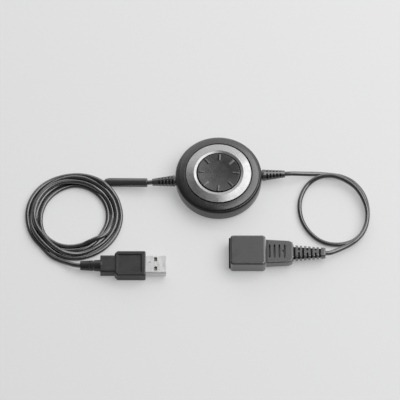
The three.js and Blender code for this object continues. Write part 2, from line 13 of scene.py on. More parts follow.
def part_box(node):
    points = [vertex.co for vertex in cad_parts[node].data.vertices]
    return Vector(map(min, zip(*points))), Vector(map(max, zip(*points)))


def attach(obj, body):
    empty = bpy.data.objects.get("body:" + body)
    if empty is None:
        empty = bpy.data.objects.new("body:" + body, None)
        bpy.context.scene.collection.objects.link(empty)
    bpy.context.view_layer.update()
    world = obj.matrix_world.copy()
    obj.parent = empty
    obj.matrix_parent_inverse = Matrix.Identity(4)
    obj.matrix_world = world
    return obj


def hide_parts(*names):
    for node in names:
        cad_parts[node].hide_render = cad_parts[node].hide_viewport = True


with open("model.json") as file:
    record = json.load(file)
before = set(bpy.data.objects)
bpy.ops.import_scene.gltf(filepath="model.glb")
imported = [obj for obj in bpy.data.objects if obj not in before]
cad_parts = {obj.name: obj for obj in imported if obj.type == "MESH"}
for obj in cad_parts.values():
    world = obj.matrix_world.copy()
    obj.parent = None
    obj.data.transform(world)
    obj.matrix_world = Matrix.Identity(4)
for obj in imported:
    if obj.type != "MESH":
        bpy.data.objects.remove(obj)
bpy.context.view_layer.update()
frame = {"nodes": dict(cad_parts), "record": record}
MM = 0.001
SLIVER = 0.001  # corners closer than this are merged
EDGE_STEPS = 5  # facets across a rounded edge
ROOT = "housing"


def centre_of(node):
    """The middle of a CAD node's box, in millimetres."""
    low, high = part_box(node)
    return (low + high) / 2 / MM


# ---------------------------------------------------------------- camera
VIEW_WIDTH = 0.23195  # across the image at the aim point
LENS = 900.0  # a long lens from far off, so that the view is nearly parallel
SENSOR = 36.0
ELEVATION = math.radians(62.5)
AIM = Vector((-10.77, -13.16, 3.0)) * MM

camera_data = bpy.data.cameras.new("camera")
camera_data.lens = LENS
camera_data.sensor_width = SENSOR
camera_data.clip_start = 0.05
camera_data.clip_end = 50.0
camera = bpy.data.objects.new("camera", camera_data)
bpy.context.scene.collection.objects.link(camera)
bpy.context.scene.camera = camera
view_from = Vector((0.0, -math.cos(ELEVATION), math.sin(ELEVATION)))
distance = VIEW_WIDTH * LENS / SENSOR
camera.location = AIM + view_from * distance
camera.rotation_euler = (-view_from).to_track_quat("-Z", "Y").to_euler()


# ---------------------------------------------------------------- mesh helpers
def add_object(name, data):
    """An object at the origin that holds the data."""
    piece = bpy.data.objects.new(name, data)
    bpy.context.scene.collection.objects.link(piece)
    return piece


def mesh_piece(name, vertices, faces):
    """A mesh from corners in millimetres."""
    data = bpy.data.meshes.new(name)
    data.from_pydata([Vector(v) * MM for v in vertices], [], faces)
    data.validate()
    return add_object(name, data)


def rounded(points, radii, steps=4, closed=False):
    """The polyline with an arc at each corner whose radius is not 0."""
    made = []
    count = len(points)
    for i, corner in enumerate(points):
        radius = radii[i] if isinstance(radii, (list, tuple)) else radii
        inner = closed or 0 < i < count - 1
        if radius <= 0 or not inner:
            made.append(tuple(corner))
            continue
        here = Vector(corner)
        before = Vector(points[i - 1]) - here
        after = Vector(points[(i + 1) % count]) - here
        angle = before.angle(after)
        reach = min(radius / math.tan(angle / 2), before.length * 0.49, after.length * 0.49)
        start = here + before.normalized() * reach
        end = here + after.normalized() * reach
        for k in range(steps + 1):
            t = k / steps
            made.append(tuple(start * (1 - t) ** 2 + here * 2 * t * (1 - t) + end * t ** 2))
    return made


def turned(name, profile, facets=144, along="Z"):
    """Turned about an axis. profile is [(radius, height)], from the bottom by the outside to the top.

    It closes on itself or on the axis.
    """
    vertices = []
    faces = []
    rings = []
    closed = profile[0] == profile[-1]
    points = profile[:-1] if closed else profile
    for radius, height in points:
        if radius < 1e-6:
            rings.append([len(vertices)])
            vertices.append((0.0, 0.0, height))
            continue
        rings.append(list(range(len(vertices), len(vertices) + facets)))
        for k in range(facets):
            angle = 2 * math.pi * k / facets
            vertices.append((radius * math.cos(angle), radius * math.sin(angle), height))
    pairs = list(zip(rings, rings[1:]))
    if closed:
        pairs.append((rings[-1], rings[0]))
    for lower, upper in pairs:
        for k in range(facets):
            n = (k + 1) % facets
            if len(lower) == 1 and len(upper) == 1:
                continue
            if len(lower) == 1:
                faces.append((lower[0], upper[n], upper[k]))
            elif len(upper) == 1:
                faces.append((lower[k], lower[n], upper[0]))
            else:
                faces.append((lower[k], lower[n], upper[n], upper[k]))
    if along == "X":
        vertices = [(z, x, y) for x, y, z in vertices]
    return mesh_piece(name, vertices, faces)


def prism(name, outline, start, end, along="X", shape=None):
    """An outline pushed along an axis. shape(x, y, z) may move each corner."""
    count = len(outline)
    vertices = []
    for level in (start, end):
        for a, b in outline:
            vertices.append((level, a, b) if along == "X" else (a, b, level))
    faces = [tuple(range(count))[::-1], tuple(range(count, 2 * count))]
    faces += [(k, (k + 1) % count, count + (k + 1) % count, count + k) for k in range(count)]
    if shape:
        vertices = [shape(*v) for v in vertices]
    return mesh_piece(name, vertices, faces)


def box_piece(name, xs, ys, zs):
    """A block between two places on each axis."""
    outline = [(ys[0], zs[0]), (ys[1], zs[0]), (ys[1], zs[1]), (ys[0], zs[1])]
    return prism(name, outline, xs[0], xs[1])


def rectangle(width, height, radius, steps=6):
    """The outline of a rectangle about 0 with round corners."""
    w, h = width / 2, height / 2
    corners = [(-w, -h), (w, -h), (w, h), (-w, h)]
    return rounded(corners, radius, steps, closed=True)


def corners_of(width, height, middle):
    """The corners of a rectangle whose centre is at (middle, 0)."""
    w, h = width / 2, height / 2
    return [(middle - w, -h), (middle + w, -h), (middle + w, h), (middle - w, h)]


def inset(points, distance):
    """The convex outline moved inwards."""
    made = []
    for i, corner in enumerate(points):
        here = Vector(corner)
        before = (Vector(points[i - 1]) - here).normalized()
        after = (Vector(points[(i + 1) % len(points)]) - here).normalized()
        half = before.angle(after) / 2
        made.append(tuple(here + (before + after).normalized() * (distance / math.sin(half))))
    return made


def cushion(name, corners, radii, low, high, edge, shape=None):
    """A plate with round corners and a round edge above and below."""
    levels = []
    for k in range(EDGE_STEPS + 1):
        turn = math.pi / 2 * k / EDGE_STEPS
        levels.append((low + edge * (1 - math.sin(turn)), edge * (1 - math.cos(turn))))
    levels = levels[::-1]
    levels += [(low + high - height, away) for height, away in levels[::-1]]
    vertices = []
    for height, away in levels:
        outline = rounded(inset(corners, away), [max(r - away, 0.02) for r in radii], 6, True)
        count = len(outline)
        vertices += [(x, y, height) for x, y in outline]
    faces = [tuple(range(count))[::-1], tuple(range(len(vertices) - count, len(vertices)))]
    for level in range(len(levels) - 1):
        start = level * count
        faces += [(start + k, start + (k + 1) % count, start + count + (k + 1) % count, start + count + k)
                  for k in range(count)]
    if shape:
        vertices = [shape(*v) for v in vertices]
    return mesh_piece(name, vertices, faces)


def applied(piece):
    """Turns the piece's modifiers into its mesh."""
    bpy.context.view_layer.update()
    graph = bpy.context.evaluated_depsgraph_get()
    data = bpy.data.meshes.new_from_object(piece.evaluated_get(graph))
    old = piece.data
    piece.modifiers.clear()
    piece.data = data
    data.name = piece.name
    bpy.data.meshes.remove(old)
    return piece


def joined(name, pieces):
    """One mesh of several that do not touch each other."""
    vertices = []
    faces = []
    for piece in pieces:
        first = len(vertices)
        vertices += [piece.matrix_world @ v.co / MM for v in piece.data.vertices]
        faces += [tuple(first + i for i in p.vertices) for p in piece.data.polygons]
        bpy.data.objects.remove(piece)
    return mesh_piece(name, vertices, faces)


def boolean(piece, tool, operation):
    """Joins or cuts a closed piece with another, which is used up."""
    modifier = piece.modifiers.new("shape", "BOOLEAN")
    modifier.operation = operation
    modifier.solver = "EXACT"
    modifier.object = tool
    applied(piece)
    bpy.data.objects.remove(tool)
    return piece


def cut(piece, tools):
    return boolean(piece, joined("tool", tools), "DIFFERENCE")


def fuse(piece, tools):
    for tool in tools:
        boolean(piece, tool, "UNION")
    return piece


def eased(piece, width, angle=35, segments=2):
    """Rounds the sharp edges a little, as moulding does."""
    modifier = piece.modifiers.new("ease", "BEVEL")
    modifier.width = width * MM
    modifier.segments = segments
    modifier.limit_method = "ANGLE"
    modifier.angle_limit = math.radians(angle)
    modifier.use_clamp_overlap = True
    return applied(piece)


def smoothed(piece, angle):
    """Smooth shading, but for edges sharper than the angle."""
    for polygon in piece.data.polygons:
        polygon.use_smooth = True
    piece.data.set_sharp_from_angle(angle=math.radians(angle))
    return piece


def moved(piece, matrix):
    """Moves the mesh itself, so that its object stays at the origin."""
    piece.data.transform(matrix)
    return piece


def turn_z(degrees):
    return Matrix.Rotation(math.radians(degrees), 4, "Z")


def shift(x, y, z):
    return Matrix.Translation(Vector((x, y, z)) * MM)


def cleaned(piece):
    """Takes out the faces without area that the cuts leave."""
    mesh = bmesh.new()
    mesh.from_mesh(piece.data)
    bmesh.ops.remove_doubles(mesh, verts=mesh.verts, dist=SLIVER * MM)
    bmesh.ops.dissolve_degenerate(mesh, dist=SLIVER * MM, edges=mesh.edges)
    mesh.to_mesh(piece.data)
    mesh.free()
    return piece


def settle(piece, body, slot_name, nodes=(), angle=38):
    """Final steps for each piece: smooth shading, material, body and the CAD nodes it stands for."""
    if piece.type == "MESH":
        cleaned(piece)
        smoothed(piece, angle)
        weighting = piece.modifiers.new("weighting", "WEIGHTED_NORMAL")
        weighting.keep_sharp = True
        applied(piece)
    piece.data.materials.clear()
    piece.data.materials.append(looks[slot_name])
    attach(piece, body)
    if nodes:
        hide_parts(*nodes)
    return piece


# ---------------------------------------------------------------- materials
# Painted shade: narrow gaps get a darker base colour wherever ambient occlusion finds them.
PAINTED_SHADE_REACH = 1.6  # how far the darkening of gaps looks for the other side
WEAR_SCALE = 600.0  # noise that breaks up the wear on edges, per metre
GLOSS_SCALE = 260.0  # noise that varies the roughness, per metre


def surface(name, colour, roughness, grain=1500.0, grain_height=0.02, mottle=0.06, mottle_scale=90.0,
            wear=0.25, metallic=0.0, rough_spread=0.08, streak=None, specular=0.5,
            coat=0.0, second=None, painted_shade=0.0):
    """Moulded or metal surface: fine grain, slow variation in tone and gloss, worn edges and painted shade in
    narrow gaps.

    grain and mottle_scale are noise scales per metre. streak stretches the noise along an axis. second is the
    colour of the grain's high spots. The last argument sets how strongly painted shade darkens narrow gaps.
    """
    material = bpy.data.materials.new(name)
    material.use_nodes = True
    tree = material.node_tree
    shader = tree.nodes["Principled BSDF"]
    shader.inputs["Metallic"].default_value = metallic
    shader.inputs["Specular IOR Level"].default_value = specular
    shader.inputs["Coat Weight"].default_value = coat
    place = tree.nodes.new("ShaderNodeTexCoord")

    def noise(scale, detail, stretch=None):
        node = tree.nodes.new("ShaderNodeTexNoise")
        node.inputs["Scale"].default_value = scale
        node.inputs["Detail"].default_value = detail
        source = place.outputs["Object"]
        if stretch:
            mapping = tree.nodes.new("ShaderNodeMapping")
            mapping.inputs["Scale"].default_value = stretch
            tree.links.new(source, mapping.inputs["Vector"])
            source = mapping.outputs["Vector"]
        tree.links.new(source, node.inputs["Vector"])
        return node.outputs["Fac"]

    def ramp(source, low, high, dark, light):
        node = tree.nodes.new("ShaderNodeMapRange")
        node.inputs["From Min"].default_value = low
        node.inputs["From Max"].default_value = high
        node.inputs["To Min"].default_value = dark
        node.inputs["To Max"].default_value = light
        tree.links.new(source, node.inputs["Value"])
        return node.outputs["Result"]

    def mixed(factor, first, other):
        node = tree.nodes.new("ShaderNodeMix")
        node.data_type = "RGBA"
        tree.links.new(factor, node.inputs["Factor"])
        for value, socket in ((first, node.inputs["A"]), (other, node.inputs["B"])):
            if isinstance(value, tuple):
                socket.default_value = (*value, 1.0)
            else:
                tree.links.new(value, socket)
        return node.outputs["Result"]

    dark = tuple(c * (1 - mottle) for c in colour)
    light = tuple(min(1.0, c * (1 + mottle)) for c in colour)
    base = mixed(ramp(noise(mottle_scale, 4.0, streak), 0.3, 0.7, 0.0, 1.0), dark, light)
    fine = noise(grain, 3.0, streak)
    speckle = tuple(min(1.0, c * 1.18) for c in colour)
    base = mixed(ramp(fine, 0.55, 0.75, 0.0, 0.6), base, second or speckle)
    if wear:
        edge = tree.nodes.new("ShaderNodeNewGeometry").outputs["Pointiness"]
        worn = tree.nodes.new("ShaderNodeMath")
        worn.operation = "MULTIPLY"
        tree.links.new(ramp(edge, 0.52, 0.60, 0.0, wear), worn.inputs[0])
        tree.links.new(ramp(noise(WEAR_SCALE, 3.0), 0.35, 0.65, 0.3, 1.0), worn.inputs[1])
        base = mixed(worn.outputs["Value"], base, tuple(min(1.0, c * 2.0) for c in colour))
    # Painted shade: ambient occlusion darkens the base colour in narrow gaps and creases.
    if painted_shade:
        shade = tree.nodes.new("ShaderNodeAmbientOcclusion")
        shade.samples = 8
        shade.inputs["Distance"].default_value = PAINTED_SHADE_REACH * MM
        shade_colour = tuple(c * 0.08 for c in colour)
        base = mixed(ramp(shade.outputs["AO"], 0.25, 0.85, painted_shade, 0.0), base, shade_colour)
    tree.links.new(base, shader.inputs["Base Color"])
    patches = noise(GLOSS_SCALE, 5.0, streak)
    gloss = ramp(patches, 0.25, 0.75, roughness - rough_spread, roughness + rough_spread)
    tree.links.new(gloss, shader.inputs["Roughness"])
    bump = tree.nodes.new("ShaderNodeBump")
    bump.inputs["Strength"].default_value = 1.0
    bump.inputs["Distance"].default_value = grain_height * MM
    tree.links.new(fine, bump.inputs["Height"])
    tree.links.new(bump.outputs["Normal"], shader.inputs["Normal"])
    return material


# Base colour, roughness and the rest of what surface() takes, for each material slot of the record.
FINISHES = {
    "soft_rubber": ((0.010, 0.010, 0.0105), 0.80, dict(grain=1100, grain_height=0.04, specular=0.2)),
    "housing_plastic": ((0.012, 0.012, 0.0125), 0.26, dict(
        grain=1900, grain_height=0.006, specular=1.0, rough_spread=0.05, painted_shade=0.9)),
    "disc_plastic": ((0.014, 0.014, 0.0145), 0.25, dict(
        grain=1700, grain_height=0.005, specular=1.0, rough_spread=0.05, painted_shade=0.9)),
    "silver_coating": ((0.345, 0.345, 0.345), 0.30, dict(
        metallic=0.85, grain=2600, grain_height=0.004, mottle=0.03, wear=0.2, painted_shade=0.95)),
    "board_laminate": ((0.015, 0.085, 0.035), 0.35, dict(
        grain=900, grain_height=0.01, mottle=0.25, mottle_scale=260, second=(0.03, 0.14, 0.06))),
    "chip_resin": ((0.022, 0.022, 0.024), 0.55, dict(grain=2400, grain_height=0.01)),
    "plated_steel": ((0.55, 0.55, 0.54), 0.32, dict(
        metallic=1.0, grain=1800, grain_height=0.006, streak=(1.0, 8.0, 1.0))),
    "nylon": ((0.70, 0.69, 0.64), 0.45, dict(grain=1200, grain_height=0.01)),
    "cord_jacket": ((0.020, 0.020, 0.0205), 0.24, dict(
        specular=1.0, coat=1.0, grain=900, grain_height=0.010, mottle=0.10, wear=0.0, painted_shade=0.9)),
    "cord_moulding": ((0.022, 0.022, 0.0225), 0.30, dict(
        specular=1.0, coat=0.5, grain=1300, grain_height=0.010, painted_shade=0.9)),
    "plug_moulding": ((0.012, 0.012, 0.0125), 0.36, dict(
        grain=1500, grain_height=0.010, specular=0.6, painted_shade=0.9)),
    "plug_steel": ((0.62, 0.62, 0.615), 0.34, dict(
        metallic=1.0, grain=1400, grain_height=0.003, mottle=0.04, streak=(6.0, 1.0, 1.0), wear=0.15)),
    "contact_gold": ((0.34, 0.285, 0.19), 0.35, dict(
        metallic=1.0, grain=1500, grain_height=0.003, streak=(8.0, 1.0, 1.0))),
    "connector_plastic": ((0.027, 0.027, 0.0275), 0.32, dict(
        grain=1500, grain_height=0.008, specular=1.0, coat=1.0, rough_spread=0.03, painted_shade=0.9)),
    "insert_plastic": ((0.008, 0.008, 0.0085), 0.55, dict(
        grain=1500, grain_height=0.008, specular=0.1, painted_shade=0.9)),
}
looks = {
    name: surface(name, colour, roughness, **rest) for name, (colour, roughness, rest) in FINISHES.items()
}


# ---------------------------------------------------------------- cords
CORD = 2.7  # diameter of both cords


def smooth_route(points, steps):
    """A centripetal curve through the points."""
    route = [Vector(p) for p in points]
    route = [route[0] * 2 - route[1], *route, route[-1] * 2 - route[-2]]
    made = []
    for i in range(1, len(route) - 2):
        p = route[i - 1:i + 3]
        t = [0.0]
        for a, b in zip(p, p[1:]):
            t.append(t[-1] + math.sqrt((b - a).length))
        for k in range(steps):
            s = t[1] + (t[2] - t[1]) * k / steps
            a1 = p[0] * ((t[1] - s) / (t[1] - t[0])) + p[1] * ((s - t[0]) / (t[1] - t[0]))
            a2 = p[1] * ((t[2] - s) / (t[2] - t[1])) + p[2] * ((s - t[1]) / (t[2] - t[1]))
            a3 = p[2] * ((t[3] - s) / (t[3] - t[2])) + p[3] * ((s - t[2]) / (t[3] - t[2]))
            b1 = a1 * ((t[2] - s) / (t[2] - t[0])) + a2 * ((s - t[0]) / (t[2] - t[0]))
            b2 = a2 * ((t[3] - s) / (t[3] - t[1])) + a3 * ((s - t[1]) / (t[3] - t[1]))
            made.append(b1 * ((t[2] - s) / (t[2] - t[1])) + b2 * ((s - t[1]) / (t[2] - t[1])))
    made.append(route[-2])
    return made


def cord_curve(name, points, steps):
    """A round cord along the points, with its length in metres."""
    line = smooth_route(points, steps)
    data = bpy.data.curves.new(name, "CURVE")
    data.dimensions = "3D"
    data.bevel_depth = CORD / 2 * MM
    data.bevel_resolution = 6
    data.use_fill_caps = True
    spline = data.splines.new("POLY")
    spline.points.add(len(line) - 1)
    for point, place in zip(spline.points, line):
        point.co = (*(place * MM), 1.0)
    length = sum((b - a).length for a, b in zip(line, line[1:])) * MM
    return add_object(name, data), length


LIE = 1.36  # height of the middle of a cord that lies on the floor
COIL_CENTRE = centre_of("usb_cord_coil")
# The USB cord as it winds on under and over itself, chosen one by one because its turns are uneven. Each
# place is (angle round the coil in degrees, radius, height).
WINDING = [
    (58, 25.5, 1.8), (65, 24.2, 1.5), (75, 22.95, LIE), (90, 22.1, LIE), (105, 21.6, LIE), (120, 21.35, LIE),
    (135, 21.25, LIE), (150, 21.25, LIE), (165, 21.4, LIE), (180, 21.95, LIE), (200, 23.0, LIE),
    (220, 24.0, LIE), (240, 23.9, LIE), (255, 23.5, LIE), (270, 22.9, LIE), (285, 22.6, LIE),
    (300, 21.5, LIE), (312, 20.6, LIE), (325, 20.0, LIE), (340, 19.8, LIE), (352, 19.7, LIE),
    (370, 19.6, LIE), (390, 19.5, LIE), (410, 19.5, LIE), (430, 19.55, LIE), (450, 19.5, LIE),
    (470, 18.9, LIE), (490, 18.5, LIE), (510, 18.5, LIE), (525, 18.7, LIE), (540, 19.2, LIE),
    (560, 20.3, LIE), (580, 21.35, LIE), (600, 21.2, LIE), (615, 20.8, LIE), (630, 20.2, LIE),
    (645, 19.9, 1.9), (658, 20.1, 3.3), (668, 20.9, 4.05), (677, 22.1, 4.1), (687, 22.8, 3.85),
    (700, 22.55, 2.9),
    (712, 22.45, 1.7), (725, 22.3, 1.4), (740, 22.1, 1.4), (750, 21.95, 1.5), (760, 21.8, 2.3),
    (770, 21.1, 3.2), (780, 20.9, 3.6), (795, 20.9, 3.75), (810, 21.0, 3.8), (825, 21.5, 4.06),
    (840, 22.0, 3.95), (855, 22.5, 3.75), (870, 22.7, 3.66), (885, 22.85, 3.66), (900, 23.1, 3.75),
    (920, 23.0, 4.06), (940, 22.75, 3.75), (955, 23.9, 4.06), (970, 25.0, 3.7), (985, 25.5, 2.6),
    (1000, 25.2, 1.5), (1020, 24.5, 1.4), (1040, 24.4, 1.6), (1060, 24.85, 2.3), (1080, 24.8, 2.55),
    (1100, 24.5, 2.6), (1110, 24.25, 2.9), (1120, 24.0, 3.5), (1130, 23.4, 3.9), (1140, 23.3, 4.05),
    (1155, 23.5, 4.25), (1170, 23.6, 4.0), (1180, 23.7, 3.5), (1190, 23.8, 2.9), (1200, 23.95, 2.2),
    (1215, 24.05, 1.5), (1230, 24.1, LIE), (1245, 24.3, LIE), (1260, 24.6, 1.4), (1270, 24.9, 2.0),
    (1280, 25.3, 2.9), (1290, 25.6, 3.3), (1300, 25.75, 3.5), (1315, 26.2, 2.9), (1330, 27.2, 1.9),
    (1345, 28.0, 1.4), (1360, 28.0, LIE), (1380, 27.65, LIE), (1400, 27.4, LIE), (1420, 27.3, LIE),
    (1440, 27.2, LIE), (1460, 27.0, 1.5), (1470, 26.8, 2.4), (1478, 26.3, 4.0), (1484, 25.9, 5.1),
    (1490, 25.6, 5.3), (1500, 25.7, 4.4), (1515, 25.8, 3.2), (1530, 25.8, 2.3), (1545, 26.0, 1.6),
    (1560, 26.35, LIE), (1575, 26.7, LIE), (1590, 26.85, LIE), (1605, 27.0, LIE), (1620, 27.1, LIE),
    (1640, 27.3, LIE), (1655, 27.4, LIE), (1667, 27.5, LIE),
]
# The USB cord leaves the control through a sleeve, and ends in the plug's relief.
SLEEVE_FROM = (-41.3, -2.92, 5.05)
SLEEVE_MIDDLE = (-53.6, -2.185, 3.865)
SLEEVE_TO = (-65.9, -1.45, 2.68)
USB_LEAD = [
    (-38.1, -2.70, 5.2), (-39.6, -2.81, 5.17), SLEEVE_FROM, SLEEVE_MIDDLE, SLEEVE_TO, (-67.6, -1.5, 2.35),
]
USB_TAIL = [
    (-100.3, -45.3, LIE), (-98.05, -47.9, LIE), (-95.2, -50.15, LIE), (-93.7, -50.9, 1.38),
    (-91.4, -52.1, 1.5), (-89.2, -53.0, 1.8), (-86.9, -54.1, 2.4), (-83.8, -55.5, 3.2), (-79.6, -56.2, 3.5),
]


def on_coil(angle, radius, height):
    """A place in the coil, in the model's frame."""
    turn = math.radians(angle)
    return (COIL_CENTRE.x + radius * math.cos(turn), COIL_CENTRE.y + radius * math.sin(turn), height)


usb_route = USB_LEAD + [on_coil(*w) for w in WINDING] + USB_TAIL
usb_cord, usb_length = cord_curve("usb_cord", usb_route, 3)
settle(usb_cord, ROOT, "cord_jacket", ("usb_cord_lead", "usb_cord_coil", "usb_cord_tail"))

HEADSET_ROUTE = [
    (38.1, 2.70, 5.2), (42.0, 2.95, 5.18), (46.5, 3.15, 4.7), (52.0, 3.75, 3.3), (57.0, 4.4, 1.9),
    (62.0, 4.3, LIE), (67.0, 3.75, LIE), (71.8, 2.7, LIE), (77.1, -0.1, LIE), (80.9, -3.9, LIE),
    (83.8, -8.5, LIE), (85.6, -13.7, LIE), (86.4, -19.2, LIE), (86.2, -24.8, LIE), (84.7, -30.5, LIE),
    (81.9, -35.6, LIE), (77.6, -39.3, LIE), (72.5, -41.1, LIE), (67.3, -41.5, LIE), (62.2, -40.6, LIE),
    (57.5, -38.2, LIE), (53.6, -34.6, LIE), (50.4, -30.2, LIE), (48.1, -25.0, LIE), (47.0, -19.2, LIE),
    (47.2, -13.1, LIE), (49.0, -7.3, 1.5), (51.6, -3.0, 2.0), (55.3, 0.0, 3.0), (60.1, 1.7, 4.0),
    (65.6, 2.0, 4.3), (70.7, 0.6, 4.3), (75.1, -1.9, 4.3), (79.0, -5.1, 4.3), (82.0, -9.2, 4.3),
    (84.2, -13.8, 4.3), (85.8, -18.9, 4.3), (86.2, -24.4, 4.3), (85.4, -30.2, 4.3), (83.1, -35.7, 4.3),
    (79.4, -40.1, 4.2), (75.4, -43.0, 3.9), (71.6, -45.1, 3.9), (67.3, -47.3, 4.3), (64.4, -48.5, 4.62),
    (61.3, -48.8, 4.75),
]
headset_cord, headset_length = cord_curve("headset_lead", HEADSET_ROUTE, 5)
settle(headset_cord, ROOT, "cord_jacket", ("headset_cord",))


# ---------------------------------------------------------------- round control
PUCK_TURN = 4.05  # degrees that the round control is turned on the floor
OUTLET_HEIGHT = 5.2
POST_CIRCLE = 18.0
POSTS = [
    (POST_CIRCLE * math.cos(math.radians(a)), POST_CIRCLE * math.sin(math.radians(a))) for a in (90, 210, 330)
]


def puck_piece(piece, slot_name, node, body=ROOT):
    moved(piece, turn_z(PUCK_TURN))
    return settle(piece, body, slot_name, (node,))


foot = turned("foot_pad", rounded([(0, 0), (20.5, 0), (20.5, 0.9), (0, 0.9)], [0, 0.35, 0.2, 0]))
puck_piece(foot, "soft_rubber", "rubber_foot")


def posts(name, profile):
    """One turned piece at each of the three screws."""
    return [moved(turned(name, profile, 32), shift(x, y, 0)) for x, y in POSTS]


def tube_profile(inner, outer, low, high):
    return [(inner, low), (outer, low), (outer, high), (inner, high), (inner, low)]


def cylinder_profile(radius, low, high):
    return [(0, low), (radius, low), (radius, high), (0, high)]


tray = turned("tray", rounded([
    (0, 1.2), (20.9, 1.2), (20.9, 0.55), (24.15, 0.55), (24.85, 1.6), (25.05, 5.0), (25.03, 7.7),
    (24.85, 8.65), (24.1, 9.4), (23.9, 9.5), (22.8, 9.5), (22.8, 2.4), (0, 2.4),
], [0, 0.2, 0.2, 0.5, 1.2, 3, 1.0, 0.5, 0.2, 0.1, 0.2, 0.4, 0], 5))
fuse(tray, posts("boss", tube_profile(1.3, 3.2, 2.0, 6.1)))
tray_cuts = posts("hole", cylinder_profile(2.2, 0, 3.2))
for start, end in ((-26, -21.5), (21.5, 26)):
    outlet = turned("outlet", cylinder_profile(3.0, start, end), 48, "X")
    tray_cuts.append(moved(outlet, shift(0, 0, OUTLET_HEIGHT)))
cut(tray, tray_cuts)
puck_piece(tray, "housing_plastic", "lower_housing")

cap = turned("cap", rounded([
    (21.2, 8.2), (22.4, 8.2), (22.4, 9.85), (23.7, 9.85), (23.76, 10.02), (23.35, 10.4), (22.6, 10.68),
    (21.6, 10.87), (20.6, 10.99), (19.6, 11.09), (19.55, 9.9), (13.4, 9.9), (13.4, 9.0), (21.2, 9.0),
    (21.2, 8.2),
], [0, 0.1, 0.1, 0.1, 0.1, 0.4, 0.6, 0.6, 0.6, 0.15, 0.1, 0.1, 0.1, 0.1, 0], 5))
fuse(cap, posts("post", tube_profile(1.3, 2.2, 7.7, 9.4)))
puck_piece(cap, "housing_plastic", "upper_housing")

ring = turned("silver_ring", rounded([
    (13.3, 10.2), (19.0, 10.2), (19.0, 11.36), (14.4, 12.38), (12.88, 11.95), (12.88, 11.7), (13.3, 11.5),
    (13.3, 10.2),
], [0, 0.1, 0.3, 1.2, 0.1, 0.1, 0.1, 0], 6))
puck_piece(ring, "silver_coating", "trim_ring")

# The top of the disc is a shallow dish, with a raised mark at each eighth of a turn.
DISC_RADIUS = 12.3
DISC_MIDDLE_TOP = 11.85
DISH_DEPTH = 0.45
MARK_COUNT = 8
MARK_TURN = -6.5
MARK_FROM = 8.2
MARK_TO = 12.05
MARK_RISE = 0.06  # slope of the dish under the marks
MARK_SECTION = rounded([
    (-0.75, -0.4), (-0.75, -0.02), (-0.12, 0.25), (0.12, 0.25), (0.75, -0.02), (0.75, -0.4),
], [0, 0.1, 0.15, 0.15, 0.1, 0], 4, True)


def dish(radius):
    """Height of the disc's top at a radius, to the nearest micron."""
    return round(DISC_MIDDLE_TOP + DISH_DEPTH * (radius / DISC_RADIUS) ** 2, 3)


def along_dish(x, y, z):
    """Lifts a mark with the dished top of the disc."""
    return (x, y, z + dish(MARK_FROM) + MARK_RISE * (x - MARK_FROM))


disc = turned("disc", rounded([
    (0, 10.3), (6.3, 10.3), (6.3, 9.5), (7.3, 9.5), (7.3, 10.3), (DISC_RADIUS, 10.3),
    (DISC_RADIUS, dish(DISC_RADIUS)), *((r, dish(r)) for r in (10, 8, 6, 4, 2, 0)),
], [0, 0.1, 0.1, 0.1, 0.1, 0.2, 0.3, 0, 0, 0, 0, 0, 0], 5))
marks = []
for i in range(MARK_COUNT):
    mark = eased(prism("mark", MARK_SECTION, MARK_FROM, MARK_TO, shape=along_dish), 0.12, 50)
    marks.append(moved(mark, turn_z(MARK_TURN + 360 / MARK_COUNT * i)))
fuse(disc, marks)
puck_piece(disc, "disc_plastic", "control_disc", "disc")


WINDOW_COUNT = 5
WINDOW_PITCH = 1.92
WINDOW_HALF = 0.45
WINDOW_SIDES = ((-4, -0.5), (0.5, 4))
WINDOW_LEVELS = ((-4, -0.45), (0.45, 4))


def relief_shade_filler(name, extra):
    """A dark filler inside a relief that its windows show: it stands for the cord and, larger than the cord,
    for painted shade round it. extra is the room round it.
    """
    start, end = 26.2 - extra, 37.0 + extra
    return turned(name, [(0, start), (2.45 + extra, start), (1.65 + extra, end), (0, end)], 48, "X")


def outlet_relief(name, turn, first_window):
    """Cone with windows on the cord where it leaves the round control."""
    cone = turned(name, rounded([
        (0, 21.8), (2.7, 21.8), (2.7, 25.35), (3.35, 25.35), (3.3, 26.6), (2.02, 38.6), (0, 38.6),
    ], [0, 0.2, 0, 0.25, 0.5, 0.45, 0], 4), 64, "X")
    flange = prism("flange", rectangle(8.6, 5.0, 0.8), 20.8, 22.0)
    fuse(cone, [eased(flange, 0.2)])
    windows = []
    for i in range(WINDOW_COUNT):
        x = first_window + WINDOW_PITCH * i
        for ys in WINDOW_SIDES:
            for zs in WINDOW_LEVELS:
                windows.append(box_piece("window", (x - WINDOW_HALF, x + WINDOW_HALF), ys, zs))
    cut(cone, windows)
    eased(cone, 0.07, 50)
    boolean(cone, relief_shade_filler("hollow", 0.05), "DIFFERENCE")
    return moved(cone, turn_z(turn) @ shift(0, 0, OUTLET_HEIGHT))


puck_piece(outlet_relief("relief_headset_side", 0, 28.15), "cord_moulding", "headset_relief")
puck_piece(outlet_relief("relief_usb_side", 180, 27.0), "cord_moulding", "usb_relief")
# Painted shade: dark fillers inside the reliefs, seen through the windows as black.
for side, turn in (("headset", 0), ("usb", 180)):
    shade_filler = relief_shade_filler(f"relief_shade_filler_{side}_side", 0.0)
    moved(shade_filler, turn_z(turn + PUCK_TURN) @ shift(0, 0, OUTLET_HEIGHT))
    settle(shade_filler, ROOT, "soft_rubber")

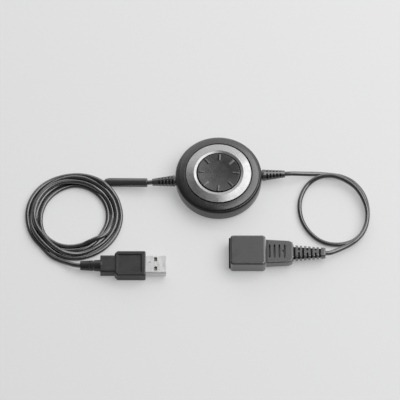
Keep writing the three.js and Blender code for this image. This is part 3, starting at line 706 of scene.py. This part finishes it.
# ---------------------------------------------------------------- sleeve on the USB cord
sleeve_span = Vector(SLEEVE_TO) - Vector(SLEEVE_FROM)
sleeve_end = sleeve_span.length
sleeve = turned("sleeve", rounded([
    (1.5, 0), (2.6, 0), (2.6, sleeve_end - 2.5), (2.0, sleeve_end), (1.5, sleeve_end), (1.5, 0),
], [0, 0.35, 1.5, 0.3, 0.1, 0], 5), 64, "X")
along_span = sleeve_span.to_track_quat("X", "Z").to_matrix().to_4x4()
moved(sleeve, shift(*SLEEVE_FROM) @ along_span)
settle(sleeve, ROOT, "cord_moulding", ("cable_sleeve",))

# ---------------------------------------------------------------- USB plug
usb_axis = centre_of("usb_plug_shell")
USB_PLACE = shift(0, usb_axis.y, usb_axis.z)


def usb_piece(piece, slot_name, node, angle=38):
    moved(piece, USB_PLACE)
    return settle(piece, ROOT, slot_name, (node,), angle)


grip_corners = [(-60.1, -6.25), (-58.4, -7.95), (-42.2, -7.95), (-42.2, 7.95), (-58.4, 7.95), (-60.1, 6.25)]
grip = cushion("usb_grip", grip_corners, [0.9] * 6, -3.5, 3.5, 0.75)
rear = eased(prism("rear", rectangle(11.1, 6.4, 1.5), -68.4, -59.5), 0.35, 60, 3)
cone = turned("cone", rounded([
    (0, -80.0), (2.6, -80.0), (3.4, -68.6), (3.4, -67.4), (0, -67.4),
], [0, 0.35, 0.3, 0, 0], 4), 64, "X")
fuse(grip, [rear, cone])
panel_corners = [(-58.7, -6.0), (-44.3, -6.0), (-44.3, 6.0), (-58.7, 6.0)]
PANEL_MIDDLE = -51.0
PANEL_FLOOR = 3.0
PANEL_RIM = 3.55
PANEL_SLOPE = 0.8


def sloped_panel(x, y, z):
    """Draws in the deep end of the panel cut, so that its walls slope."""
    drawn = (PANEL_RIM - abs(z)) / (PANEL_RIM - PANEL_FLOOR) * PANEL_SLOPE
    return (x + (drawn if x < PANEL_MIDDLE else -drawn), y + (drawn if y < 0 else -drawn), z)


usb_cuts = [
    prism("panel", panel_corners, low, high, "Z", sloped_panel)
    for low, high in ((PANEL_FLOOR, PANEL_RIM), (-PANEL_RIM, -PANEL_FLOOR))
]
usb_cuts.append(prism("socket", rectangle(12.5, 5.0, 0.6), -46.3, -41.0))
for ends in ((-5, -1.7), (1.7, 5)):
    usb_cuts.append(box_piece("slot", (-74.8, -74.1), (-5, 5), ends))
    usb_cuts.append(box_piece("slot", (-72.7, -72.0), ends, (-5, 5)))
cut(grip, usb_cuts)
eased(grip, 0.06, 55)
usb_piece(grip, "plug_moulding", "usb_plug_body", 24)

shell = prism("usb_shell", rectangle(12.0, 4.5, 0.95, 8), -46.0, -30.35)
cut(shell, [prism("inside", rectangle(11.4, 3.9, 0.65), -47.0, -29.0)])
dimple = moved(turned("dimple", [(0, 2.02), (0.2, 2.02), (0.55, 2.3), (0, 2.3)], 24), shift(-39.8, 1.0, 0))
shell_cuts = [box_piece("window", (-37.3, -35.6), ys, (-4, 4)) for ys in ((-4.3, -1.7), (1.7, 4.3))]
seam = box_piece("seam", (-47, -30), (-5.3, -5.18), (2.12, 3.0))
cut(shell, [dimple, *shell_cuts, seam])
eased(shell, 0.05, 50)
usb_piece(shell, "plug_steel", "usb_plug_shell")

# ---------------------------------------------------------------- headset connector
qd_axis = centre_of("qd_housing")
QD_PLACE = shift(0, qd_axis.y, qd_axis.z)


def qd_piece(piece, slot_name, node):
    moved(piece, QD_PLACE)
    return settle(piece, ROOT, slot_name, (node,))


block = cushion("qd_block", corners_of(20.55, 19.2, 16.875), [2.2] * 4, -4.75, 4.75, 1.1)
cut(block, [prism("pocket", rectangle(17.4, 7.7, 1.1), 5.0, 20.0)])
eased(block, 0.08, 60)
qd_piece(block, "connector_plastic", "qd_housing")

insert = prism("qd_collar", rectangle(16.8, 7.1, 0.9), 5.9, 19.7)
cut(insert, [prism("cavity", rectangle(15.2, 5.5, 0.5), 4.0, 17.4)])
pin_holes = []
for y in (-4.5, -1.5, 1.5, 4.5):
    pin_holes.append(moved(turned("hole", cylinder_profile(0.75, 16.4, 20.7), 24, "X"), shift(0, y, 0)))
cut(insert, pin_holes)
eased(insert, 0.12, 50)
qd_piece(insert, "insert_plastic", "qd_insert")


def narrowed(start, end, width, thickness):
    """A shape function: between two places, a width and a thickness shrink to these shares."""
    def shape(x, y, z):
        share = (x - start) / (end - start)
        return (x, y * (1 + (width - 1) * share), z * (1 + (thickness - 1) * share))
    return shape


TAIL_FROM = 42.6
TAIL_TO = 61.8
SHADE_FILLER_TO = 60.6
tail_taper = narrowed(TAIL_FROM, TAIL_TO, 0.61, 0.83)


def tail_shade_filler(name, width, thickness, start):
    """A dark filler inside the connector's tail that its slots show: it stands for the cord and, larger than
    the cord, for painted shade round it.
    """
    return prism(name, rectangle(width, thickness, 1.3, 6), start, SHADE_FILLER_TO, "X", tail_taper)


QD_GRIP_FROM = 27.45
QD_GRIP_TO = 43.1
qd_corners = [
    (QD_GRIP_FROM, -7.75), (40.6, -7.05), (42.6, -6.1), (QD_GRIP_TO, -4.2),
    (QD_GRIP_TO, 4.2), (42.6, 6.1), (40.6, 7.05), (QD_GRIP_FROM, 7.75),
]
qd_grip = cushion("qd_grip_moulding", qd_corners, [0.1, 1.2, 0.9, 0.9, 0.9, 0.9, 1.2, 0.1], -2.9, 2.9, 0.8,
                  shape=narrowed(QD_GRIP_FROM, QD_GRIP_TO, 1.0, 0.9))
tail = prism("tail", rectangle(9.4, 5.2, 1.9, 8), TAIL_FROM, TAIL_TO, "X", tail_taper)
eased(tail, 0.3, 60, 3)
tail_cuts = []
for x in (43.9, 48.8, 53.7, 58.5):
    tail_cuts.append(box_piece("slot", (x - 0.55, x + 0.55), (-6, 6), (-4, 4)))
for x in (46.4, 51.3, 56.1):
    for ys in ((-6, -0.65), (0.65, 6)):
        tail_cuts.append(box_piece("slot", (x - 0.5, x + 0.5), ys, (-4, 4)))
cut(tail, tail_cuts)
boolean(tail, tail_shade_filler("hollow", 7.7, 3.3, 43.2), "DIFFERENCE")
fuse(qd_grip, [tail])


def pointed(x, y, z):
    """Narrows the deep end of a groove cut, so that its walls meet."""
    return (x * 0.1 if abs(z) < 2 else x, y, z)


grooves = []
for x in (29.45, 32.3, 35.15, 38.2):
    for low, high in ((1.4, 3.3), (-3.3, -1.4)):
        groove = prism("groove", rectangle(1.25, 8.6, 0.6, 5), low, high, "Z", pointed)
        grooves.append(moved(groove, shift(x, 0, 0)))
cut(qd_grip, grooves)
cut(qd_grip, [moved(turned("dimple", cylinder_profile(0.7, 1.6, 4), 24), shift(37.2, 0, 0))])
eased(cleaned(qd_grip), 0.06, 55)
qd_piece(qd_grip, "connector_plastic", "qd_grip")
# Painted shade: a dark filler inside the tail, seen through the slots as black.
tail_shade_piece = tail_shade_filler("qd_tail_core", 7.6, 3.2, 43.25)
moved(tail_shade_piece, QD_PLACE)
settle(tail_shade_piece, ROOT, "soft_rubber")

# ---------------------------------------------------------------- carried-over CAD nodes
slot_of = {s["node"]: s["material_slot"] for s in frame["record"]["subparts"]}
for node, piece in frame["nodes"].items():
    piece.data.materials.clear()
    piece.data.materials.append(looks[slot_of[node]])


# ---------------------------------------------------------------- floor and light
FLOOR_WIDTH = 18000
FLOOR_GREY = 0.48
floor_corners = [(x, y, 0) for x, y in corners_of(FLOOR_WIDTH, FLOOR_WIDTH, 0.0)]
floor = mesh_piece("floor", floor_corners, [(0, 1, 2, 3)])
floor_material = bpy.data.materials.new("floor")
floor_material.use_nodes = True
floor_shader = floor_material.node_tree.nodes["Principled BSDF"]
floor_shader.inputs["Base Color"].default_value = (FLOOR_GREY, FLOOR_GREY, FLOOR_GREY, 1.0)
floor_shader.inputs["Emission Color"].default_value = (1.0, 1.0, 1.0, 1.0)
floor_shader.inputs["Emission Strength"].default_value = 0.30
floor_shader.inputs["Roughness"].default_value = 0.9
floor.data.materials.append(floor_material)

world = bpy.data.worlds.new("studio")
bpy.context.scene.world = world
world.use_nodes = True
background = world.node_tree.nodes["Background"]
background.inputs["Color"].default_value = (0.95, 0.97, 1.0, 1.0)
background.inputs["Strength"].default_value = 0.15
bpy.context.scene.view_settings.view_transform = "Standard"


def softbox(name, azimuth, elevation, reach, size, radiance, roll=0.0):
    """A rectangular light aimed at the object, reach metres away. Azimuth 0 is to the right, 90 is behind."""
    data = bpy.data.lights.new(name, "AREA")
    data.shape = "RECTANGLE"
    data.size, data.size_y = size
    data.energy = radiance * math.pi * size[0] * size[1]
    light = bpy.data.objects.new(name, data)
    bpy.context.scene.collection.objects.link(light)
    turn, rise = math.radians(azimuth), math.radians(elevation)
    direction = Vector((math.cos(turn) * math.cos(rise), math.sin(turn) * math.cos(rise), math.sin(rise)))
    light.location = direction * reach
    rolled = Quaternion((0, 0, 1), math.radians(-roll))
    light.rotation_euler = (direction.to_track_quat("Z", "Y") @ rolled).to_euler()


softbox("right_softbox", azimuth=16, elevation=56, reach=1.28, size=(1.4, 1.3), radiance=2.8, roll=25)
softbox("back_softbox", azimuth=90, elevation=31, reach=1.4, size=(1.8, 1.4), radiance=1.2)
